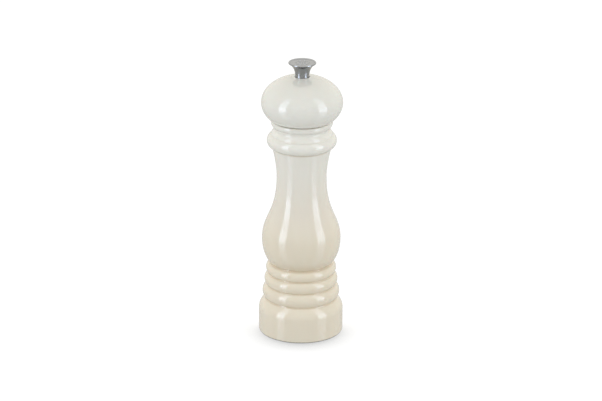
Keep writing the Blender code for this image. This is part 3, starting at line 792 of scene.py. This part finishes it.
def make_retainer():
    """Flanged ring that is screwed on from below and holds the stator in."""
    spigot_r = STATOR_R
    flange_z = PLATE_Z - GAP
    outline = [(RETAINER_IN_R, RETAINER_TOP_Z), (spigot_r, RETAINER_TOP_Z), (spigot_r, flange_z)]
    outline += [(RETAINER_R, flange_z), (RETAINER_R, RETAINER_Z + 0.6)]
    outline += [(RETAINER_R - 0.6, RETAINER_Z), (RETAINER_IN_R, RETAINER_Z)]
    made = lathe("mill_stator_retainer", rounded(outline, 0.3), FINE, DARK_PLASTIC)
    for place in ring_places(RETAINER_RING, 3, 90.0):
        cut(made, cylinder(RETAINER_HOLE_R, RETAINER_Z - 1, flange_z + 1, place, 24))
    place_in_frame(made, "stator_retainer", "body")


# ---- screws ----
def make_screw(node, body, head_r, head_h, shank_r, pitch):
    """Pan-head screw with a tapered cross recess and a real thread, where its CAD node is."""
    low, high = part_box(node)
    place = ((low.x + high.x) / 2 / MM, (low.y + high.y) / 2 / MM)
    foot = low.z / MM
    seat = foot + head_h
    top = high.z / MM
    made = thread("mill_" + node, shank_r, pitch, seat + 0.4, top, SCREW_STEEL, 0.5, 24)
    neck_r = shank_r * 0.86
    outline = [(0.0, seat + 0.9), (neck_r, seat + 0.9), (neck_r, seat), (head_r - 0.15, seat)]
    outline += [(head_r, seat - 0.15)]
    outline += arc((head_r, seat - 0.15), (head_r * 0.86, seat - head_h * 0.72),
                   (head_r * 0.42, foot), 8)
    outline += [(0.0, foot)]
    cut(made, lathe("head", outline, SMALL, SCREW_STEEL, closed=False), 'UNION')
    reach = head_r * 1.1
    for quarter in (0, 1):
        cut(made, cross_bar(reach, 0.55, head_h * 0.62, foot, quarter))
    made.location = Vector((place[0], place[1], 0.0)) * MM
    place_in_frame(made, node, body, THREAD_CORNER)


def cross_bar(length, width, depth, foot, quarter):
    """One bar of a cross recess: long at the head's face, short at its bottom."""
    mesh = bpy.data.meshes.new("bar")
    shape = bmesh.new()
    bmesh.ops.create_cube(shape, size=1.0)
    for corner in shape.verts:
        inside = corner.co.z > 0
        corner.co.x *= length * (0.45 if inside else 1.08)
        corner.co.y *= width
        corner.co.z = depth if inside else -0.3
    bmesh.ops.scale(shape, vec=Vector((MM, MM, MM)), verts=shape.verts)
    shape.to_mesh(mesh)
    shape.free()
    made = new_object("bar", mesh)
    made.location.z = foot * MM
    made.rotation_euler.z = math.radians(7.0 + 90.0 * quarter)
    return made


# ---- shaft and what turns with it ----
def make_bush():
    """Flanged bush with a square hole, which the shaft slides in."""
    flange_top = BUSH_Z + 2.4
    outline = [(0.0, BUSH_TOP_Z), (5.2, BUSH_TOP_Z), (5.2, flange_top), (BUSH_R, flange_top)]
    outline += [(BUSH_R, BUSH_Z), (0.0, BUSH_Z)]
    made = lathe("mill_shaft_bush", rounded(outline, 0.3, closed=False), FINE, WHITE_PLASTIC, False)
    cut(made, block((SQUARE_HOLE, SQUARE_HOLE, 20.0), (0, 0, BUSH_Z + 6.0)))
    place_in_frame(made, "shaft_bush", "bush")


def make_shaft():
    """Square drawn bar with broken corners, and the M5 thread above its shoulder."""
    side = 2 * SHAFT_HALF
    length = SHOULDER_Z - SHAFT_Z
    made = block((side, side, length), (0, 0, SHAFT_Z + length / 2), bevel=0.25)
    made.name = "mill_drive_shaft"
    made.data.materials.append(STEEL)
    cut(made, cylinder(1.8, SHAFT_Z - 1.0, 17.5))
    cut(made, thread("m5", THREAD_R, 0.8, SHOULDER_Z - 1.0, SHAFT_TOP_Z, STEEL, 0.6, 48), 'UNION')
    place_in_frame(made, "drive_shaft", "spindle", THREAD_CORNER)


def make_washer(node, body, finish, r_in):
    """Flat ring as high and as wide as its CAD node."""
    low, high, r_out = span(node)
    outline = [(r_in, high), (r_out, high), (r_out, low), (r_in, low)]
    made = lathe("mill_" + node, rounded(outline, 0.12), FINE, finish)
    place_in_frame(made, node, body)


def make_spring():
    """Compression spring with a closed turn at each end."""
    wire = 0.6
    coil_r = SPRING_R - wire
    low = SPRING_Z + wire
    high = SPRING_TOP_Z - wire
    closed = 1.0
    active = 3.0
    lift = 2 * wire
    per_turn = 32
    count = int((2 * closed + active) * per_turn)
    rise = (high - low - 2 * lift) / active
    sides = 12
    mesh = bpy.data.meshes.new("mill_rotor_spring")
    shape = bmesh.new()
    rings = []
    for i in range(count + 1):
        turn = i / per_turn
        if turn < closed:
            height = low + lift * turn / closed
        elif turn < closed + active:
            height = low + lift + rise * (turn - closed)
        else:
            height = high - lift * (2 * closed + active - turn) / closed
        angle = math.tau * turn
        out = Vector((math.cos(angle), math.sin(angle), 0.0))
        centre = out * coil_r + Vector((0.0, 0.0, height))
        ring = []
        for k in range(sides):
            around = math.tau * k / sides
            point = centre + out * (wire * math.cos(around))
            point.z += wire * math.sin(around)
            ring.append(shape.verts.new(point * MM))
        rings.append(ring)
    for first, second in zip(rings, rings[1:]):
        for k in range(sides):
            j = (k + 1) % sides
            shape.faces.new((first[k], second[k], second[j], first[j]))
    shape.faces.new(rings[0])
    shape.faces.new(list(reversed(rings[-1])))
    bmesh.ops.recalc_face_normals(shape, faces=shape.faces)
    shape.to_mesh(mesh)
    shape.free()
    made = new_object("mill_rotor_spring", mesh, SPRING_STEEL)
    made.data.shade_smooth()
    made.data.set_sharp_from_angle(angle=math.radians(50.0))
    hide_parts("rotor_spring")
    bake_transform(made)


# ---- head ----
def make_head():
    """Hollow spheroid with a post round the shaft and a recess for the knob's foot."""
    edge_r = HEAD_R * math.sqrt(1.0 - ((HEAD_Z - HEAD_EDGE_Z) / HEAD_B) ** 2)
    lip_z = INSERT_TOP_Z + GAP
    bore_r = 20.4
    lip_in_r = SEAT_R - 0.25
    outside = [(lip_in_r, HEAD_TOP_Z - 0.3)]
    outside += spheroid(HEAD_R, HEAD_B, lip_in_r, HEAD_R, 60)
    outside += spheroid(HEAD_R, HEAD_B, HEAD_R, edge_r, 30, upper=False)[1:]
    outside += [(edge_r - 0.9, HEAD_EDGE_Z)]
    outline = softened(outside)
    inner_a = HEAD_R - HEAD_WALL
    inner_b = HEAD_B - HEAD_WALL
    lip_r = inner_a * math.sqrt(1.0 - ((HEAD_Z - lip_z) / inner_b) ** 2)
    seat_z = 197.7
    outline += [(bore_r + 0.3, HEAD_EDGE_Z), (bore_r, HEAD_EDGE_Z + 0.3), (bore_r, lip_z)]
    outline += spheroid(inner_a, inner_b, lip_r, inner_a, 8, upper=False)
    outline += spheroid(inner_a, inner_b, inner_a, POST_R, 14)[1:]
    outline += [(POST_R, lip_z), (POST_BORE_R, lip_z), (POST_BORE_R, 191.0)]
    outline += [(THREAD_R + 0.45, 191.0), (THREAD_R + 0.45, seat_z), (SEAT_R, seat_z)]
    made = lathe("mill_head", outline, FINEST, ENAMEL_HEAD)
    place_in_frame(made, "head_shell", "head")


def make_insert():
    """Floor of the head: flange, spigot in the mouth ring and a pocket for the drive plate."""
    spigot_r = 15.4
    flange_z = RING_TOP_Z + GAP
    floor_z = DRIVE_TOP_Z + GAP
    outline = [(POST_BORE_R, INSERT_TOP_Z), (INSERT_R, INSERT_TOP_Z), (INSERT_R, flange_z)]
    outline += [(spigot_r, flange_z), (spigot_r, INSERT_Z + 0.6), (spigot_r - 0.6, INSERT_Z)]
    outline += [(13.4, INSERT_Z), (13.4, floor_z), (POST_BORE_R, floor_z)]
    made = lathe("mill_head_insert", rounded(outline, 0.3), FINE, WHITE_PLASTIC)
    for place in ring_places(PLATE_RING, 2, 0.0):
        cut(made, cylinder(PLATE_HOLE_R, floor_z - 1, INSERT_TOP_Z + 1, place, 24))
    place_in_frame(made, "head_insert", "head")


def make_drive_plate():
    """Steel disc with a square hole for the shaft and two screw holes."""
    outline = [(0.0, DRIVE_TOP_Z), (DRIVE_R, DRIVE_TOP_Z), (DRIVE_R, DRIVE_Z), (0.0, DRIVE_Z)]
    made = lathe("mill_drive_plate", rounded(outline, 0.2, closed=False), FINE, STEEL, False)
    cut(made, block((SQUARE_HOLE, SQUARE_HOLE, 8.0), (0, 0, DRIVE_Z)))
    for place in ring_places(PLATE_RING, 2, 0.0):
        cut(made, cylinder(PLATE_HOLE_R, DRIVE_Z - 1, DRIVE_TOP_Z + 1, place, 24))
    place_in_frame(made, "drive_plate", "head")


# ---- knob ----
def make_knob():
    """Flared nut: thin rounded flange, dished top with a plain raised ring and five small domes."""
    dish_z = KNOB_TOP_Z - 0.5
    ring_z = KNOB_TOP_Z - 0.05
    lip_r = 9.7
    edge = (KNOB_R - 0.05, 209.0)
    bore_r = 4.0
    bore_top = 207.0
    outline = [(0.0, dish_z), (4.1, dish_z), (4.4, ring_z), (5.2, ring_z), (5.5, dish_z)]
    outline += [(lip_r - 1.0, dish_z), (lip_r - 0.6, KNOB_TOP_Z), (lip_r, KNOB_TOP_Z)]
    outline += arc((lip_r, KNOB_TOP_Z), (KNOB_R - 0.12, KNOB_TOP_Z - 0.35), edge, 8)
    outline += bezier(edge, (7.3, 207.3), (NECK_R, 204.3), (NECK_R, 199.5))
    outline += [(NECK_R, KNOB_FOOT_Z + 0.1)]
    outline = softened(outline, spacing=0.12, passes=3, tolerance=0.002)
    outline += [(NECK_R - 0.1, KNOB_FOOT_Z), (bore_r, KNOB_FOOT_Z), (bore_r, bore_top)]
    outline += [(0.0, bore_top)]
    made = lathe("mill_knob", outline, 128, KNOB_METAL, closed=False)
    for place in [(0.0, 0.0)] + ring_places(2.5, 4, 45.0):
        cut(made, dome(0.8, 0.45, dish_z, place), 'UNION')
    place_in_frame(made, "adjust_knob", "knob")


def dome(radius, height, floor_z, place):
    """Low round bump standing on the knob's dished top."""
    outline = [(0.0, floor_z + height)]
    outline += bezier((0.0, floor_z + height), (radius * 0.55, floor_z + height),
                      (radius, floor_z + height * 0.4), (radius, floor_z - 0.1), 6)
    outline += [(0.0, floor_z - 0.1)]
    made = lathe("dome", outline, 20, KNOB_METAL, closed=False)
    made.location = Vector((place[0], place[1], 0.0)) * MM
    return made


def make_knob_insert():
    """Brass tube with a chamfered bore."""
    low, high, r_out = span("knob_insert")
    r_in = THREAD_R + GAP
    outline = [(r_in + 0.3, high), (r_out, high), (r_out, low), (r_in + 0.3, low), (r_in, low + 0.3)]
    outline += [(r_in, high - 0.3)]
    made = lathe("mill_knob_insert", rounded(outline, 0.1), FINE, BRASS)
    place_in_frame(made, "knob_insert", "knob")


# ---- build the mill ----
make_body()
make_mouth_ring()
make_hopper_tube()
make_housing()
make_bridge()
make_stator()
make_retainer()
for number in (1, 2, 3):
    make_screw(f"housing_screw_{number}", "body", head_r=2.6, head_h=1.9, shank_r=1.5, pitch=0.5)
    make_screw(f"retainer_screw_{number}", "body", head_r=2.1, head_h=1.7, shank_r=1.0, pitch=0.4)
make_bush()
make_spring()
make_shaft()
make_rotor()
make_washer("rotor_washer", "spindle", SCREW_STEEL, r_in=1.9)
make_screw("rotor_screw", "spindle", head_r=3.2, head_h=2.0, shank_r=1.5, pitch=0.5)
make_head()
make_insert()
make_drive_plate()
for number in (1, 2):
    make_screw(f"drive_plate_screw_{number}", "head", head_r=2.2, head_h=1.5, shank_r=1.2, pitch=0.45)
make_washer("knob_washer", "seat_washer", DARK_PLASTIC, r_in=2.9)
make_knob()
make_knob_insert()


# ---- floor, light and camera ----
FLOOR_HALF = 6.0        # metres, as all places and sizes of the studio
FLOOR_TONE = (140, 140, 139)
FLOOR_LIFT = 0.84       # own glow that brings the floor up to plain white
# painted shadow at the mill's foot: the floor's colour and glow are darkened by occlusion near the
# mill, more towards -Y
PAINTED_SHADOW_REACH = 26.0    # how far the painted shadow at the mill's foot spreads, in millimetres
PAINTED_SHADOW_FADE = 1.5      # how soon it fades within that reach
PAINTED_SHADOW_DEPTH = 0.42    # beside the mill
PAINTED_SHADOW_FRONT = 1.05    # added in front of it, towards -Y
TABLE_TONE = (198, 198, 198)            # the sheet that the mill stands on, as the mill sees it
TABLE_MIRROR = 0.32
TABLE_ROUGHNESS = 0.05
TABLE_IOR = 1.8
STRIP_DISTANCE = 1.1
# lowest and highest height of each length of a strip lamp, and its share of the radiance
STRIP_BANDS = ((0.0, 0.45, 1.0), (0.45, 0.9, 0.70), (0.9, 1.4, 0.45), (1.4, 2.0, 0.32))
# name, azimuth and width in degrees, radiance and colour
STRIPS = (("left_strip", 56.0, 22.0, 4.4, (0.75, 0.84, 1.0)),
          ("right_strip", -60.0, 25.0, 3.6, (0.76, 0.85, 1.0)))
STUDIO_COLOUR = (1.0, 0.972, 0.90, 1.0)
STUDIO_LEVEL = 1.28     # mean brightness of the studio round the mill
STUDIO_LEAN = (0.0, 0.35, -0.82)        # brighter behind and low down
MIRRORED_LEVEL = 0.85   # the studio as the lacquer and the metal mirror it
MIRRORED_LEAN = (0.0, 0.05, 0.60)       # brighter overhead
CAMERA_PLACE = (0.0, -2.05, 0.862)
CAMERA_DOWN = 20.27     # degrees below level
CAMERA_ROLL = 0.36
LENS_LENGTH = 175.7     # millimetres, on a sensor 36 mm wide
LENS_SHIFT = (-0.0008, -0.0063)


def make_floor():
    """Polished white table. The camera sees plain white with a soft shadow at the mill's foot,
    painted into its colour and glow; to the mill it is a greyer mirror-like sheet, so undersides stay
    in shade and the lamps carry on in it.
    """
    mesh = bpy.data.meshes.new("floor")
    shape = bmesh.new()
    bmesh.ops.create_grid(shape, x_segments=1, y_segments=1, size=FLOOR_HALF)
    shape.to_mesh(mesh)
    shape.free()
    paper = Finish("floor_white_shadow_painted", roughness=0.8, specular=0.0)
    # painted shadow: occlusion near the mill, deeper towards -Y, darkens the floor's colour and glow
    near = paper.add("ShaderNodeAmbientOcclusion")
    near.inputs["Distance"].default_value = PAINTED_SHADOW_REACH * MM
    shut_in = paper.math('SUBTRACT', 1.0, near.outputs["AO"])
    covered = paper.math('POWER', shut_in, PAINTED_SHADOW_FADE)
    parts = paper.add("ShaderNodeSeparateXYZ")
    paper.links.new(paper.place, parts.inputs[0])
    in_front = paper.math('MULTIPLY', parts.outputs["Y"], -PAINTED_SHADOW_FRONT / (BASE_R * MM))
    depth = paper.math('MAXIMUM', paper.math('ADD', in_front, PAINTED_SHADOW_DEPTH), 0.0)
    painted_shadow = paper.math('SUBTRACT', 1.0, paper.math('MULTIPLY', covered, depth))
    cloud = paper.shaded(linear(FLOOR_TONE), paper.noise(3.0), 0.01)
    paper.colour(paper.shaded(cloud, painted_shadow, 1.0))
    paper.links.new(paper.math('MULTIPLY', painted_shadow, FLOOR_LIFT),
                    paper.shader.inputs["Emission Strength"])
    paper.shader.inputs["Emission Color"].default_value = (1.0, 1.0, 1.0, 1.0)
    seen = paper.add("ShaderNodeLightPath").outputs["Is Camera Ray"]
    table = paper.add("ShaderNodeBsdfPrincipled")
    table.inputs["Base Color"].default_value = linear(TABLE_TONE)
    table.inputs["Metallic"].default_value = TABLE_MIRROR
    table.inputs["Roughness"].default_value = TABLE_ROUGHNESS
    table.inputs["IOR"].default_value = TABLE_IOR
    both = paper.add("ShaderNodeMixShader")
    paper.links.new(seen, both.inputs["Fac"])
    paper.links.new(table.outputs[0], both.inputs[1])
    paper.links.new(paper.shader.outputs[0], both.inputs[2])
    paper.links.new(both.outputs[0], paper.nodes["Material Output"].inputs["Surface"])
    floor = new_object("floor", mesh, paper.material)


def area_lamp(name, width, height, radiance, colour, place, turn):
    """Rectangular lamp of an even radiance; it lights the mill but isn't seen by the camera."""
    light = bpy.data.lights.new(name, 'AREA')
    light.shape = 'RECTANGLE'
    light.size = width
    light.size_y = height
    light.energy = radiance * math.pi * width * height
    light.color = colour
    lamp = bpy.data.objects.new(name, light)
    bpy.context.scene.collection.objects.link(lamp)
    lamp.location = place
    lamp.rotation_euler = turn
    lamp.visible_camera = False


def strip_box(name, azimuth, width_degrees, radiance, colour):
    """Upright strip lamp that stands on the floor and gets dimmer towards its top.

    Azimuth 0 is the camera's side and positive is left.
    """
    side = math.radians(azimuth)
    width = 2.0 * STRIP_DISTANCE * math.tan(math.radians(width_degrees / 2.0))
    for low, high, share in STRIP_BANDS:
        place = (-math.sin(side) * STRIP_DISTANCE, -math.cos(side) * STRIP_DISTANCE, (low + high) / 2)
        area_lamp(f"{name}_{low}", width, high - low, radiance * share, colour, place,
                  (math.pi / 2.0, 0.0, -side))


def leaning_level(tree, level, lean):
    """Brightness that is level on average and grows along the direction of lean."""
    way = tree.nodes.new("ShaderNodeTexCoord").outputs["Generated"]
    along = tree.nodes.new("ShaderNodeVectorMath")
    along.operation = 'DOT_PRODUCT'
    tree.links.new(way, along.inputs[0])
    along.inputs[1].default_value = lean
    total = tree.nodes.new("ShaderNodeMath")
    total.operation = 'ADD'
    tree.links.new(along.outputs["Value"], total.inputs[0])
    total.inputs[1].default_value = level
    return total.outputs[0]


def make_light():
    """Two strip lamps in a bright studio, whose ceiling shows more in reflections than as light."""
    world = bpy.data.worlds.new("studio")
    world.use_nodes = True
    tree = world.node_tree
    nodes = tree.nodes
    choice = nodes.new("ShaderNodeMix")
    mirrored = nodes.new("ShaderNodeLightPath").outputs["Is Glossy Ray"]
    tree.links.new(mirrored, choice.inputs["Factor"])
    tree.links.new(leaning_level(tree, STUDIO_LEVEL, STUDIO_LEAN), choice.inputs["A"])
    tree.links.new(leaning_level(tree, MIRRORED_LEVEL, MIRRORED_LEAN), choice.inputs["B"])
    tree.links.new(choice.outputs["Result"], nodes["Background"].inputs["Strength"])
    nodes["Background"].inputs["Color"].default_value = STUDIO_COLOUR
    bpy.context.scene.world = world
    for strip in STRIPS:
        strip_box(*strip)


def make_camera():
    camera = bpy.data.cameras.new("camera")
    camera.sensor_width = 36.0
    camera.lens = LENS_LENGTH
    camera.shift_x, camera.shift_y = LENS_SHIFT
    camera.clip_start = 0.1
    camera.clip_end = 30.0
    viewer = bpy.data.objects.new("camera", camera)
    bpy.context.scene.collection.objects.link(viewer)
    down = math.radians(CAMERA_DOWN)
    roll = math.radians(CAMERA_ROLL)
    turn = Matrix.Rotation(math.pi / 2 - down, 4, 'X') @ Matrix.Rotation(roll, 4, 'Z')
    viewer.matrix_world = Matrix.Translation(CAMERA_PLACE) @ turn
    bpy.context.scene.camera = viewer


make_floor()
make_light()
make_camera()
bpy.context.scene.view_settings.view_transform = 'Standard'
